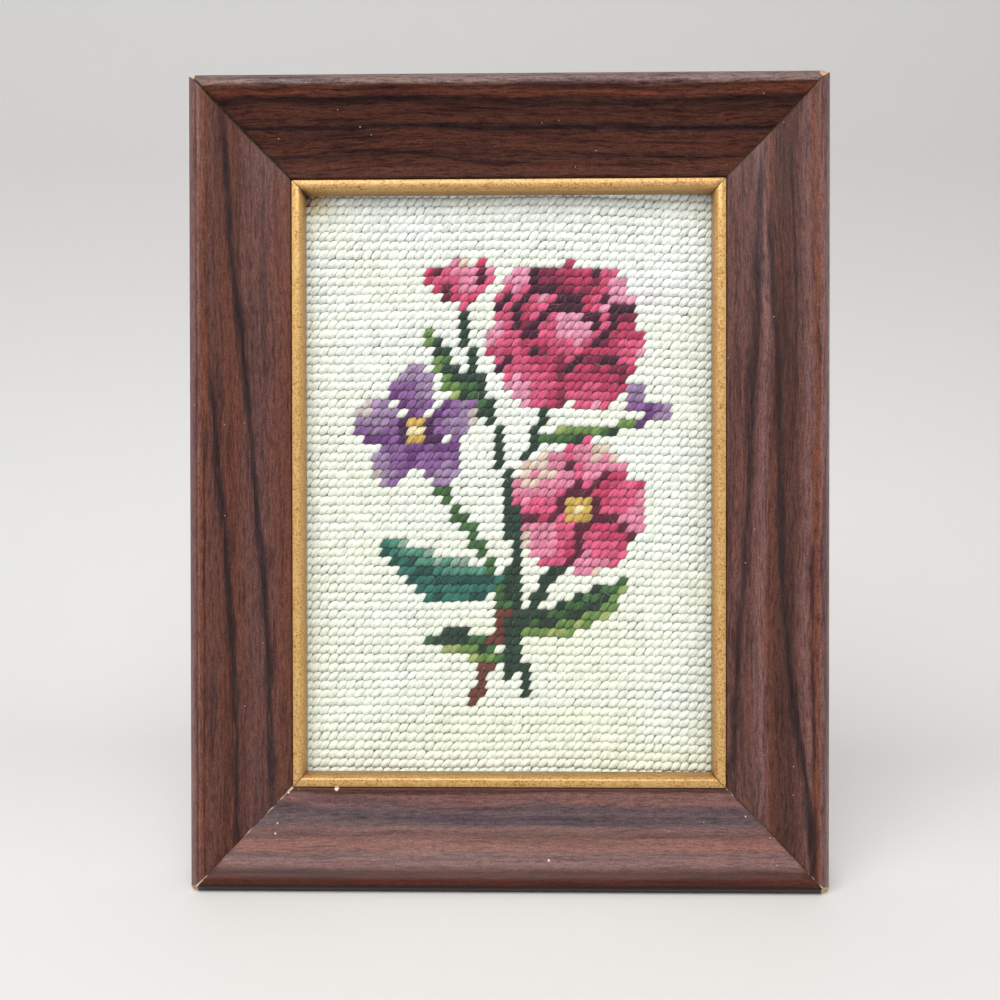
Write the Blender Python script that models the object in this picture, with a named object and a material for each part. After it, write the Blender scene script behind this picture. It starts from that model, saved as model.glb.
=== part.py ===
"""Needlepoint canvas panel in its wooden picture frame, standing on its lower edge.

Row frame in metres: +Z up, -Y towards the viewer, origin under the middle of the frame.
Each bar of the frame is drawn once as a profile of (inward, height) points. Inward runs from
the outer edge to the middle of the picture, and height runs from the flat back to the front.
"""

import math

import bmesh
import bpy

# Driving dimensions of the whole
SIGHT_WIDTH = 0.1164
SIGHT_HEIGHT = 0.1658
WOOD_WIDTH = 0.0265
SLIP_SIGHT_WIDTH = 0.0033
FRAME_DEPTH = 0.022
GAP = 0.0003

# Wooden moulding, measured inward from the outer edge and up from the back
SIDE_HEIGHT = 0.0188
EDGE_BEVEL_WIDTH = 0.0020
EDGE_EASE = 0.0009
CREST_INWARD = 0.0034
SCOOP_START = 0.0056
SCOOP_POWER = 2.0
WOOD_LIP_HEIGHT = 0.0126
WOOD_LIP_ROUND = 0.0005
REBATE_INWARD = 0.022
REBATE_HEIGHT = 0.0093

# Gilt slip, whose flange lies under the wooden lip
SLIP_BACK_HEIGHT = 0.0072
SLIP_SHOULDER_HEIGHT = 0.0121
SLIP_CROWN_HEIGHT = 0.0124
SLIP_CROWN_INWARD = 0.0285
SLIP_CROWN_SWELL = 0.00015
SLIP_SIGHT_EDGE_HEIGHT = 0.0100

# Stitched canvas, whose rows of stitches stand up as ribs
STITCH_ROW_PITCH = 0.00254
CANVAS_BACK_HEIGHT = 0.0044
CANVAS_FRONT_HEIGHT = 0.0068
ROW_GROOVE_DEPTH = 0.0006
ROW_STEPS = 4
CANVAS_COLUMNS = 8
PILLOW_DEPTH = 0.0003
WAVE_DEPTH = 0.0001
WAVE_TURNS_ACROSS = 0.83
WAVE_TURNS_UP = 1.11

# Backing board
BOARD_BACK_HEIGHT = 0.0011
BOARD_FRONT_HEIGHT = CANVAS_BACK_HEIGHT - GAP

# Sizes that follow from the ones above
BAR_WIDTH = WOOD_WIDTH + SLIP_SIGHT_WIDTH
OUTER_WIDTH = SIGHT_WIDTH + 2 * BAR_WIDTH
OUTER_HEIGHT = SIGHT_HEIGHT + 2 * BAR_WIDTH
REBATE_CLEARANCE = 0.0004
PANEL_WIDTH = OUTER_WIDTH - 2 * (REBATE_INWARD + REBATE_CLEARANCE)
PANEL_HEIGHT = OUTER_HEIGHT - 2 * (REBATE_INWARD + REBATE_CLEARANCE)
CENTRE_HEIGHT = OUTER_HEIGHT / 2
SMOOTH_ANGLE = math.radians(28)

ROSEWOOD = {"colour": (0.115, 0.040, 0.029, 1.0), "roughness": 0.42, "metallic": 0.0}
GILT = {"colour": (0.61, 0.40, 0.13, 1.0), "roughness": 0.38, "metallic": 0.6}
WOOL = {"colour": (0.80, 0.79, 0.69, 1.0), "roughness": 0.95, "metallic": 0.0}
BOARD = {"colour": (0.36, 0.25, 0.16, 1.0), "roughness": 0.85, "metallic": 0.0}

# Where each bar goes: name, length along the outer edge, turn about Y, place of its outer edge
BARS = (
    ("bottom", OUTER_WIDTH, 0.0, (0.0, 0.0, 0.0)),
    ("top", OUTER_WIDTH, math.pi, (0.0, 0.0, OUTER_HEIGHT)),
    ("left", OUTER_HEIGHT, math.pi / 2, (-OUTER_WIDTH / 2, 0.0, CENTRE_HEIGHT)),
    ("right", OUTER_HEIGHT, -math.pi / 2, (OUTER_WIDTH / 2, 0.0, CENTRE_HEIGHT)),
)


def clear_scene():
    for item in list(bpy.data.objects):
        bpy.data.objects.remove(item, do_unlink=True)


def make_material(name, finish):
    material = bpy.data.materials.new(name)
    material.use_nodes = True
    shader = material.node_tree.nodes["Principled BSDF"]
    shader.inputs["Base Color"].default_value = finish["colour"]
    shader.inputs["Roughness"].default_value = finish["roughness"]
    shader.inputs["Metallic"].default_value = finish["metallic"]
    return material


def depth_of(height):
    """Place along Y of a point at this height above the flat back."""
    return FRAME_DEPTH / 2 - height


def add_object(name, bm, material, smooth_angle=None):
    bmesh.ops.recalc_face_normals(bm, faces=bm.faces)
    mesh = bpy.data.meshes.new(name)
    bm.to_mesh(mesh)
    bm.free()
    if smooth_angle is not None:
        mesh.shade_smooth()
        mesh.set_sharp_from_angle(angle=smooth_angle)
    mesh.materials.append(material)
    item = bpy.data.objects.new(name, mesh)
    bpy.context.scene.collection.objects.link(item)
    return item


def wood_profile():
    """Outline of the scooped moulding: flat side, eased bevel, crest, hollow and thin lip."""
    crest_run = SCOOP_START - CREST_INWARD
    scoop_run = WOOD_WIDTH - SCOOP_START
    full_fall = FRAME_DEPTH - WOOD_LIP_HEIGHT
    # The crest is a parabola that meets the hollow at the same slope
    crest_curve = SCOOP_POWER * full_fall / (2 * crest_run * scoop_run + SCOOP_POWER * crest_run**2)

    def crest_height(inward):
        return FRAME_DEPTH - crest_curve * (inward - CREST_INWARD) ** 2

    points = [(0.0, 0.0)]
    bevel_rise = crest_height(EDGE_BEVEL_WIDTH) - SIDE_HEIGHT
    bevel_steps = 5
    for step in range(bevel_steps):
        # The side bends smoothly over into the bevel, which meets the crest at a soft edge
        share = step / bevel_steps
        ease = 2 * share * (1 - share) * EDGE_EASE
        points.append((EDGE_BEVEL_WIDTH * share**2, SIDE_HEIGHT + ease + bevel_rise * share**2))
    crest_steps = 8
    for step in range(crest_steps):
        inward = EDGE_BEVEL_WIDTH + (SCOOP_START - EDGE_BEVEL_WIDTH) * step / crest_steps
        points.append((inward, crest_height(inward)))
    scoop_steps = 15
    scoop_fall = crest_height(SCOOP_START) - WOOD_LIP_HEIGHT
    for step in range(scoop_steps):
        share = step / scoop_steps
        inward = SCOOP_START + scoop_run * share
        points.append((inward, WOOD_LIP_HEIGHT + scoop_fall * (1 - share) ** SCOOP_POWER))
    round_steps = 3
    for step in range(round_steps + 1):
        angle = step / round_steps * math.pi / 2
        inward = WOOD_WIDTH - WOOD_LIP_ROUND * (1 - math.sin(angle))
        points.append((inward, WOOD_LIP_HEIGHT - WOOD_LIP_ROUND * (1 - math.cos(angle))))
    points += [(WOOD_WIDTH, REBATE_HEIGHT), (REBATE_INWARD, REBATE_HEIGHT), (REBATE_INWARD, 0.0)]
    return points


def slip_profile():
    """Outline of the gilt slip: hidden flange, raised bead and rounded sight edge."""
    flange_start = REBATE_INWARD + GAP
    flange_top = REBATE_HEIGHT - GAP
    bead_start = WOOD_WIDTH + GAP
    points = [
        (flange_start, SLIP_BACK_HEIGHT),
        (flange_start, flange_top),
        (bead_start, flange_top),
        (bead_start, SLIP_SHOULDER_HEIGHT),
    ]
    crown_middle = (bead_start + SLIP_CROWN_INWARD) / 2
    points.append((crown_middle, (SLIP_SHOULDER_HEIGHT + SLIP_CROWN_HEIGHT) / 2 + SLIP_CROWN_SWELL))
    round_run = BAR_WIDTH - SLIP_CROWN_INWARD
    round_fall = SLIP_CROWN_HEIGHT - SLIP_SIGHT_EDGE_HEIGHT
    round_steps = 6
    for step in range(round_steps + 1):
        angle = step / round_steps * math.pi / 2
        inward = SLIP_CROWN_INWARD + round_run * math.sin(angle)
        points.append((inward, SLIP_CROWN_HEIGHT - round_fall * (1 - math.cos(angle))))
    points.append((BAR_WIDTH, SLIP_BACK_HEIGHT))
    return points


def mitred_bar(name, profile, length, turn, place, material):
    """A length of moulding along X, its two ends cut back at 45 degrees."""
    bm = bmesh.new()
    first_end = [bm.verts.new((-length / 2, depth_of(height), inward)) for inward, height in profile]
    face = bm.faces.new(first_end)
    grown = bmesh.ops.extrude_face_region(bm, geom=[face])["geom"]
    moved = [item for item in grown if isinstance(item, bmesh.types.BMVert)]
    bmesh.ops.translate(bm, verts=moved, vec=(length, 0.0, 0.0))
    mitre_gap = GAP / 2 * math.sqrt(2)
    for vert in bm.verts:
        vert.co.x -= math.copysign(vert.co.z + mitre_gap, vert.co.x)
    bar = add_object(name, bm, material, smooth_angle=SMOOTH_ANGLE)
    bar.rotation_euler = (0.0, turn, 0.0)
    bar.location = place
    return bar


def canvas_front_height(across, up):
    """Height of the stitched face: a soft pillow, ribbed by the rows of stitches."""
    side_share = math.cos(math.pi * across / PANEL_WIDTH)
    up_share = math.cos(math.pi * up / PANEL_HEIGHT)
    pillow = PILLOW_DEPTH * (side_share * up_share - 1)
    wave_turns = WAVE_TURNS_ACROSS * across / PANEL_WIDTH + WAVE_TURNS_UP * up / PANEL_HEIGHT
    slow_wave = WAVE_DEPTH * (math.sin(2 * math.pi * wave_turns) - 1)
    row_share = abs(math.sin(math.pi * up / STITCH_ROW_PITCH))
    groove = ROW_GROOVE_DEPTH * (1 - row_share)
    return CANVAS_FRONT_HEIGHT + pillow - groove + slow_wave


def stitched_canvas(material):
    """The flat needlepoint, one sheet with ribbed front and plain back."""
    whole_rows = int(PANEL_HEIGHT / STITCH_ROW_PITCH)
    ribbed_height = whole_rows * STITCH_ROW_PITCH
    bm = bmesh.new()
    bmesh.ops.create_grid(bm, x_segments=CANVAS_COLUMNS, y_segments=whole_rows * ROW_STEPS, size=0.5)
    for vert in bm.verts:
        across = vert.co.x * PANEL_WIDTH
        up = vert.co.y * ribbed_height
        vert.co = (across, depth_of(canvas_front_height(across, up)), up)
    rim = [edge for edge in bm.edges if edge.is_boundary]
    grown = bmesh.ops.extrude_edge_only(bm, edges=rim)["geom"]
    back_rim = [item for item in grown if isinstance(item, bmesh.types.BMEdge) and item.is_boundary]
    for vert in {corner for edge in back_rim for corner in edge.verts}:
        vert.co.y = depth_of(CANVAS_BACK_HEIGHT)
    bmesh.ops.holes_fill(bm, edges=back_rim, sides=0)
    canvas = add_object("needlepoint_canvas", bm, material)
    canvas.location = (0.0, 0.0, CENTRE_HEIGHT)
    return canvas


def backing_board(material):
    """A plain board that closes the rebate behind the canvas."""
    bm = bmesh.new()
    bmesh.ops.create_cube(bm, size=1.0)
    thickness = BOARD_FRONT_HEIGHT - BOARD_BACK_HEIGHT
    bmesh.ops.scale(bm, verts=bm.verts, vec=(PANEL_WIDTH, thickness, PANEL_HEIGHT))
    middle = (BOARD_FRONT_HEIGHT + BOARD_BACK_HEIGHT) / 2
    board = add_object("backing_board", bm, material)
    board.location = (0.0, depth_of(middle), CENTRE_HEIGHT)
    return board


def main():
    clear_scene()
    rosewood = make_material("rosewood", ROSEWOOD)
    gilt = make_material("gilt", GILT)
    wool = make_material("wool", WOOL)
    board = make_material("board", BOARD)
    for side, length, turn, place in BARS:
        mitred_bar(f"frame_{side}", wood_profile(), length, turn, place, rosewood)
        mitred_bar(f"slip_{side}", slip_profile(), length, turn, place, gilt)
    stitched_canvas(wool)
    backing_board(board)


main()
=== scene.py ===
# Needlepoint picture of a flower spray, in a scooped rosewood frame with a gilt slip.
# Metres, +Z up, -Y towards the viewer, the origin under the middle of the frame.
import math
import random

import bmesh
import bpy
import numpy as np
from mathutils import Matrix, Vector, noise


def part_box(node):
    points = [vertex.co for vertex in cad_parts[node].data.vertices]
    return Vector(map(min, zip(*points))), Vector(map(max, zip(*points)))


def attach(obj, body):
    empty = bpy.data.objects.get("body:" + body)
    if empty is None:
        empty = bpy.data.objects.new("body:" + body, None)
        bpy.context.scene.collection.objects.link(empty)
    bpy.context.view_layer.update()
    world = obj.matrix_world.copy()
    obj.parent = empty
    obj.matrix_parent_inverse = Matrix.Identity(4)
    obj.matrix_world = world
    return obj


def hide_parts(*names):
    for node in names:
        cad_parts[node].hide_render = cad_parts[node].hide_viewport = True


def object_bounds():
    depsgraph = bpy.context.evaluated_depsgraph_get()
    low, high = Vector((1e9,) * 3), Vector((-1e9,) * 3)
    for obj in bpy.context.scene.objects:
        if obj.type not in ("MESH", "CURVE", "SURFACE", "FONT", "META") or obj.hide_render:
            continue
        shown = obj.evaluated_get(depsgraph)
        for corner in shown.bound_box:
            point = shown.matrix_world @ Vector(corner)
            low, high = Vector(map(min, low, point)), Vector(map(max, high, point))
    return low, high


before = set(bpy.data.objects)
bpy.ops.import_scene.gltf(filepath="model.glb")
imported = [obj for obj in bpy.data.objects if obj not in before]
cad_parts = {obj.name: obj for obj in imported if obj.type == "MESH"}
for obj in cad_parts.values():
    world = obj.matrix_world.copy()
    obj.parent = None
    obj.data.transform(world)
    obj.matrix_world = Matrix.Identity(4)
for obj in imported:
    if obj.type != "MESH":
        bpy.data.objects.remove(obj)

millimetre = 0.001
cadLow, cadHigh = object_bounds()
backY = cadHigh.y
frontY = cadLow.y
outerWidth = cadHigh.x - cadLow.x
outerHeight = cadHigh.z - cadLow.z
centreHeight = outerHeight / 2
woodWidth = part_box("frame_left")[1].x - cadLow.x
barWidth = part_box("slip_left")[1].x - cadLow.x
sightWidth = outerWidth - 2 * barWidth
sightHeight = outerHeight - 2 * barWidth
frameDepth = backY - frontY


def depthOf(height):
    return backY - height  # place along Y of a point this high above the flat back


# The camera stands where the photograph was taken from
view = {
    "place": (0.0015, -0.2650, 0.1098),
    "looksAt": (-0.0024, 0.0005, 0.1081),
    "roll": -0.06,
    "lens": 33.60,
    "sensor": 36.0,
}

lights = {
    # name: place, aim, width, height, power, colour
    "overhead": ((-0.12, -0.86, 0.98), (0.0, 0.0, 0.10), 1.20, 0.90, 18.0, (1.0, 0.99, 0.975)),
    "leftWindow": ((-0.90, -0.70, 0.50), (0.0, 0.0, 0.10), 0.60, 0.60, 2.0, (0.93, 0.97, 1.0)),
    "rightFill": ((0.90, -0.70, 0.45), (0.0, 0.0, 0.10), 0.60, 0.60, 1.6, (1.0, 0.99, 0.98)),
}
skyLight = {"colour": (0.91, 0.94, 0.97, 1.0), "strength": 0.16}

# The wall is painted darker than the floor, as painted shade for the light falling off up the backdrop
stageLook = {"floor": (0.82, 0.815, 0.80), "shadedWall": (0.55, 0.545, 0.54), "shadeFadesBy": 0.35, "roughness": 0.9}
stageSize = {"halfWidth": 1.6, "front": -1.0, "back": 0.40, "bend": 0.26, "height": 1.3}


def makeCamera():
    camera = bpy.data.cameras.new("camera")
    camera.lens = view["lens"]
    camera.sensor_width = view["sensor"]
    camera.clip_start = 0.01
    place = Vector(view["place"])
    turn = (Vector(view["looksAt"]) - place).to_track_quat("-Z", "Y")
    item = bpy.data.objects.new("camera", camera)
    item.rotation_mode = "QUATERNION"
    item.location = place
    item.rotation_quaternion = turn @ Matrix.Rotation(math.radians(view["roll"]), 3, "Z").to_quaternion()
    bpy.context.scene.collection.objects.link(item)
    bpy.context.scene.camera = item


def makeLights():
    for name, (place, aim, width, height, power, colour) in lights.items():
        light = bpy.data.lights.new(name, "AREA")
        light.shape = "RECTANGLE"
        light.size = width
        light.size_y = height
        light.energy = power
        light.color = colour
        item = bpy.data.objects.new(name, light)
        item.location = place
        item.rotation_euler = (Vector(aim) - Vector(place)).to_track_quat("-Z", "Y").to_euler()
        bpy.context.scene.collection.objects.link(item)
    world = bpy.data.worlds.new("sky")
    world.use_nodes = True
    sky = world.node_tree.nodes["Background"]
    sky.inputs["Color"].default_value = skyLight["colour"]
    sky.inputs["Strength"].default_value = skyLight["strength"]
    bpy.context.scene.world = world
    bpy.context.scene.view_settings.view_transform = "Standard"


def newMaterial(name, roughness, metallic=0.0):
    mat = bpy.data.materials.new(name)
    mat.use_nodes = True
    shader = mat.node_tree.nodes["Principled BSDF"]
    shader.inputs["Roughness"].default_value = roughness
    shader.inputs["Metallic"].default_value = metallic
    return mat, shader


def addNode(mat, kind, wires=None, **settings):
    node = mat.node_tree.nodes.new("ShaderNode" + kind)
    for key, value in settings.items():
        setattr(node, key, value)
    for key, value in (wires or {}).items():
        if isinstance(value, bpy.types.NodeSocket):
            mat.node_tree.links.new(value, node.inputs[key])
        else:
            node.inputs[key].default_value = value
    return node


def maths(mat, operation, first, second=0.0):
    return addNode(mat, "Math", {0: first, 1: second}, operation=operation).outputs[0]


def plus(mat, *values):
    whole = values[0]
    for value in values[1:]:
        whole = maths(mat, "ADD", whole, value)
    return whole


def times(mat, *values):
    whole = values[0]
    for value in values[1:]:
        whole = maths(mat, "MULTIPLY", whole, value)
    return whole


def minus(mat, first, second):
    return maths(mat, "SUBTRACT", first, second)


def scaledAdd(mat, value, scale, offset):
    wires = {0: value, 1: scale, 2: offset}
    return addNode(mat, "Math", wires, operation="MULTIPLY_ADD").outputs[0]


def mixNumbers(mat, factor, first, second):
    return addNode(mat, "Mix", {0: factor, 2: first, 3: second}, data_type="FLOAT").outputs[0]


def placeOf(mat, kind="Object"):
    return addNode(mat, "TexCoord").outputs[kind]


def axesOf(mat, vector):
    return addNode(mat, "SeparateXYZ", {"Vector": vector}).outputs


def noiseOf(mat, vector, scale, detail=2.0, roughness=0.5):
    wires = {"Vector": vector, "Scale": scale, "Detail": detail, "Roughness": roughness}
    return addNode(mat, "TexNoise", wires).outputs["Fac"]


def grainOf(mat, vector, scale, detail=2.0, roughness=0.5):
    # noise with its own number of waves a metre along each axis
    stretched = addNode(mat, "Mapping", {"Vector": vector, "Scale": scale}).outputs[0]
    return noiseOf(mat, stretched, 1.0, detail, roughness)


def rampOf(mat, factor, stops):
    node = addNode(mat, "ValToRGB", {"Fac": factor})
    ramp = node.color_ramp
    while len(ramp.elements) < len(stops):
        ramp.elements.new(0.5)
    for element, (place, colour) in zip(ramp.elements, sorted(stops, key=lambda stop: stop[0])):
        element.position = place
        element.color = (*colour[:3], 1.0)
    return node.outputs["Color"]


def between(mat, factor, low, high):
    wires = {"Value": factor, "From Min": low, "From Max": high}
    return addNode(mat, "MapRange", wires, clamp=True).outputs[0]


def blend(mat, factor, first, second, kind="MIX"):
    wires = {"Factor": factor}
    for socket, value in ((6, first), (7, second)):
        wires[socket] = value if isinstance(value, bpy.types.NodeSocket) else (*value[:3], 1.0)
    return addNode(mat, "Mix", wires, data_type="RGBA", blend_type=kind).outputs[2]


def shaded(mat, colour, tone):
    grey = addNode(mat, "CombineColor", {"Red": tone, "Green": tone, "Blue": tone}).outputs[0]
    return blend(mat, 1.0, colour, grey, "MULTIPLY")


def wire(mat, socket, target):
    mat.node_tree.links.new(socket, target)


def addBump(mat, shader, height, strength, distance):
    node = addNode(mat, "Bump", {"Height": height, "Strength": strength, "Distance": distance})
    wire(mat, node.outputs[0], shader.inputs["Normal"])


def linear(red, green, blue):
    channels = (red / 255, green / 255, blue / 255)
    return tuple(c / 12.92 if c <= 0.04045 else ((c + 0.055) / 1.055) ** 2.4 for c in channels)


def limited(value):
    return min(1.0, max(0.0, value))


def boundaryOf(bm):
    return [edge for edge in bm.edges if edge.is_boundary]


def edgesIn(geometry):
    return [item for item in geometry if isinstance(item, bmesh.types.BMEdge)]


def meshFrom(bm, name, degrees=None):
    # the finished mesh, faces outwards, smooth but for edges sharper than the degrees given
    bmesh.ops.recalc_face_normals(bm, faces=bm.faces)
    mesh = bpy.data.meshes.new(name)
    bm.to_mesh(mesh)
    bm.free()
    mesh.shade_smooth()
    if degrees:
        mesh.set_sharp_from_angle(angle=math.radians(degrees))
    return mesh


def addPiece(name, mesh, materials, stands=()):
    for mat in materials:
        mesh.materials.append(mat)
    item = bpy.data.objects.new(name, mesh)
    bpy.context.scene.collection.objects.link(item)
    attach(item, "root")
    if stands:
        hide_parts(*stands)
    return item


# Bare wood shows on the back, in the rebate and where the finish has chipped
bareWood = {
    "light": (214, 182, 144), "dark": (170, 128, 90), "roughness": 0.8,
    "fibre": (90.0, 900.0, 1.0), "patch": 45.0, "bump": (0.4, 0.0001),
}


def bareWoodMaterial():
    mat, shader = newMaterial("bareWood", bareWood["roughness"])
    fibre = grainOf(mat, placeOf(mat, "UV"), bareWood["fibre"], 4.0, 0.6)
    patch = noiseOf(mat, placeOf(mat), bareWood["patch"])
    share = times(mat, plus(mat, fibre, patch), 0.5)
    colour = rampOf(mat, share, [(0.36, linear(*bareWood["dark"])), (0.62, linear(*bareWood["light"]))])
    wire(mat, colour, shader.inputs["Base Color"])
    addBump(mat, shader, fibre, *bareWood["bump"])
    return mat


# Scooped moulding, in millimetres inward from the outer edge and up from the back
moulding = {
    "sideHeight": 18.8,
    "bevelWidth": 2.0,
    "bevelEase": 0.9,
    "crest": 3.4,
    "scoopStart": 5.6,
    "scoopPower": 2.0,
    "lipHeight": 12.6,
    "lipRound": 0.5,
    "rebateInward": 22.0,
    "rebateHeight": 9.3,
    "mitreGap": 0.22,
    "mitreBevel": 0.08,
    "segments": 40,
    "chipLean": 0.55,
}

# Shades of the printed grain; the darkest is also used as painted shade on the bottom bar's lower edge,
# and the pale ash and mauve partly as painted highlight
grainShades = {
    "red": (142, 80, 62),
    "russet": (77, 33, 20),
    "paintedShadeCoal": (44, 17, 13),
    "dusk": (99, 66, 60),
    "smoke": (97, 79, 81),
    "rust": (112, 66, 50),
    "brown": (100, 60, 48),
    "umber": (82, 51, 43),
    "rosy": (130, 86, 77),
    "mauve": (121, 87, 83),
    "ash": (153, 129, 124),
    "slate": (72, 59, 66),
    "char": (42, 29, 32),
    "bare": (226, 208, 184),
    "joint": (24, 15, 12),
}

# For each bar: how dark it is, as a tone that is a painted shade for how the bar faces the light (the top
# bar darkest, its scoop facing down), how glossy it is, its seed, how far inward the grain stays calm, how
# strong its fine figure is, its bands as (millimetres inward, shade), and its dark streaks as shade,
# strength, half width and points (millimetres along X or Z, millimetres inward). The bands carry painted
# light along with the printed grain: the pale ash on the top bar's outer bevel and the light line at the
# arris of the side bars are painted highlight, the pale bands in the bottom bar's scoop are partly painted
# sheen, and the darkest bands on the bottom bar's lower edge are painted shade.
barLooks = {
    "top": {
        "tone": 0.55, "gloss": 0.08, "seed": 3.0, "calm": 3.2, "figure": 1.0,
        "bands": [
            # the pale ash at the outer bevel is partly a painted highlight where it faces up
            (-9.0, "brown"), (0.0, "ash"), (3.4, "ash"), (4.3, "rust"), (5.2, "rust"), (6.1, "red"),
            (7.0, "umber"), (9.5, "brown"), (12.0, "brown"), (13.4, "umber"), (15.0, "brown"),
            (18.5, "brown"), (20.5, "umber"), (22.5, "brown"), (25.0, "brown"), (26.5, "umber"),
        ],
        "streaks": [
            ("char", 0.64, 0.90, [
                (-96, 8.2), (-58, 7.2), (-30, 7.2), (0, 8.0), (14, 8.6), (40, 7.6), (92, 7.8)]),
            ("char", 0.85, 0.90, [(-86, 13.2), (-30, 13.6), (0, 14.0), (30, 13.4), (84, 13.6)]),
            ("char", 0.75, 0.60, [
                (-80, 20.0), (-58, 19.9), (-47, 19.0), (-38, 19.2), (-26, 20.3), (-10, 22.5), (8, 22.6)]),
            ("char", 0.70, 0.50, [(18, 20.0), (36, 20.4), (66, 21.0)]),
            ("char", 0.50, 0.34, [(-24, 4.9), (0, 4.6), (30, 4.8), (60, 4.5), (84, 4.8)]),
            ("char", 0.50, 0.34, [(-84, 5.4), (-66, 5.0), (-40, 5.2), (-30, 4.9)]),
            ("char", 0.45, 0.30, [(6, 5.6), (26, 5.2), (52, 5.6)]),
        ],
    },
    "bottom": {
        "tone": 0.85, "gloss": 0.24, "seed": 11.0, "calm": 6.4, "figure": 0.62,
        "bands": [
            # the darkest bands on the lower edge are painted shade; the pale scoop bands are partly painted
            # sheen
            (-9.0, "umber"), (0.0, "paintedShadeCoal"), (2.6, "paintedShadeCoal"), (3.2, "russet"), (6.0, "russet"),
            (6.8, "dusk"), (7.6, "mauve"), (9.6, "mauve"), (11.0, "rosy"), (13.0, "rosy"), (14.4, "dusk"),
            (16.2, "mauve"), (17.4, "smoke"), (21.0, "smoke"), (22.4, "mauve"), (25.0, "mauve"),
            (25.6, "umber"), (26.5, "umber"),
        ],
        "streaks": [
            ("slate", 0.52, 1.50, [
                (-78, 22.6), (-60, 21.6), (-38, 19.2), (-15, 18.0), (10, 17.6), (45, 17.8), (80, 18.4)]),
            ("slate", 0.46, 1.20, [
                (-72, 19.0), (-56, 23.4), (-40, 23.6), (-20, 22.0), (10, 21.4), (50, 21.0)]),
            ("char", 0.60, 0.26, [(-84, 5.7), (-60, 5.8), (-45, 5.4), (-18, 5.6)]),
            ("slate", 0.45, 0.35, [(-80, 9.8), (0, 9.3), (40, 9.9), (84, 9.2)]),
        ],
    },
    "left": {
        "tone": 0.87, "gloss": 0.20, "seed": 23.0, "calm": 3.2, "figure": 0.80,
        "bands": [
            # the light band at the arris is a painted highlight
            (-9.0, "umber"), (0.0, "mauve"), (2.2, "mauve"), (2.8, "umber"), (3.3, "mauve"), (3.8, "rust"),
            (5.0, "rust"), (6.5, "dusk"), (9.0, "brown"), (12.0, "brown"), (15.0, "dusk"), (20.0, "dusk"),
            (23.5, "brown"), (26.5, "brown"),
        ],
        "streaks": [
            ("char", 0.92, 1.60, [
                (14, 20.8), (52, 20.2), (80, 19.4), (108, 17.2),
                (135, 15.2), (163, 12.8), (191, 10.2), (222, 9.3)]),
            ("char", 0.92, 1.50, [(4, 12.3), (24, 12.0), (52, 11.4), (80, 10.5), (108, 8.6), (146, 5.6)]),
            ("char", 0.70, 0.45, [(0, 4.9), (60, 5.0), (134, 4.8)]),
        ],
    },
    "right": {
        "tone": 0.83, "gloss": 0.20, "seed": 37.0, "calm": 3.2, "figure": 0.85,
        "bands": [
            (-9.0, "brown"), (0.0, "ash"), (2.6, "mauve"), (3.2, "mauve"), (3.8, "rust"), (4.9, "rust"),
            (6.0, "mauve"), (8.0, "dusk"), (10.6, "umber"), (13.0, "umber"), (15.0, "brown"), (17.0, "mauve"),
            (20.0, "dusk"), (26.5, "dusk"),
        ],
        "streaks": [
            ("char", 0.78, 1.40, [
                (20, 25.8), (52, 23.6), (80, 22.2), (108, 21.2),
                (135, 20.5), (163, 19.4), (191, 18.0), (212, 16.4)]),
            ("char", 0.84, 1.50, [
                (-6, 5.0), (24, 6.4), (52, 9.2), (80, 11.4),
                (108, 12.4), (135, 13.9), (163, 15.0), (196, 15.4)]),
            ("char", 0.80, 0.50, [(34, 4.9), (60, 4.9), (98, 5.2)]),
            ("char", 0.70, 0.60, [(126, 9.8), (170, 9.4), (210, 9.9)]),
        ],
    },
}

# Finer grain: how many a metre along and across, where it begins and ends, its strength and tint
grainLayers = {
    "warm": ((40.0, 520.0, 1.0), 0.48, 0.68, 0.80, (1.36, 1.10, 0.98)),
    "haze": ((24.0, 260.0, 1.0), 0.50, 0.66, 0.55, (1.04, 1.16, 1.30)),
    "broad": ((13.0, 300.0, 1.0), 0.50, 0.64, 0.85, (0.50, 0.46, 0.54)),
    "middle": ((38.0, 760.0, 1.0), 0.52, 0.66, 0.90, (0.40, 0.35, 0.37)),
    "fine": ((200.0, 1500.0, 1.0), 0.50, 0.62, 0.95, (0.46, 0.41, 0.43)),
}

# Waves in the flow of the grain: how many a metre along and across, detail, roughness, and reach in metres
grainFlow = {
    "slow": ((14.0, 34.0, 1.0), 1.0, 0.5, 0.0036),
    "quick": ((60.0, 190.0, 1.0), 2.0, 0.5, 0.0012),
    "frayed": ((95.0, 1300.0, 1.0), 3.0, 0.65, 0.0022),
}

# Dark streaks: how their breaks narrow them, their core and softness, how they fade at the ends and fray
streakLook = {
    "narrows": (2.6, -0.30), "core": 0.2, "softness": 0.8, "fades": 0.07, "frays": (0.22, 0.44), "room": 1.02,
}

# Tone of the print, from its plain share, its fibres and a matt speckle; flecks are knocked through it
printTone = {
    "follows": 1.5, "layerDetail": 4.0, "layerRoughness": 0.68, "plain": 0.56,
    "fibre": (420.0, 2300.0, 1.0), "fibreSpan": (0.34, 0.66), "fibreShare": 0.50,
    "speckle": 2600.0, "speckleSpan": (0.3, 0.7), "speckleShare": 0.54,
    "fleckScale": 420.0, "fleckRadius": 0.070, "fleckRarity": 0.92, "fleckStrength": 0.45,
    "roughness": (0.16, 0.34), "bump": (0.22, 0.00012),
}

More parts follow.
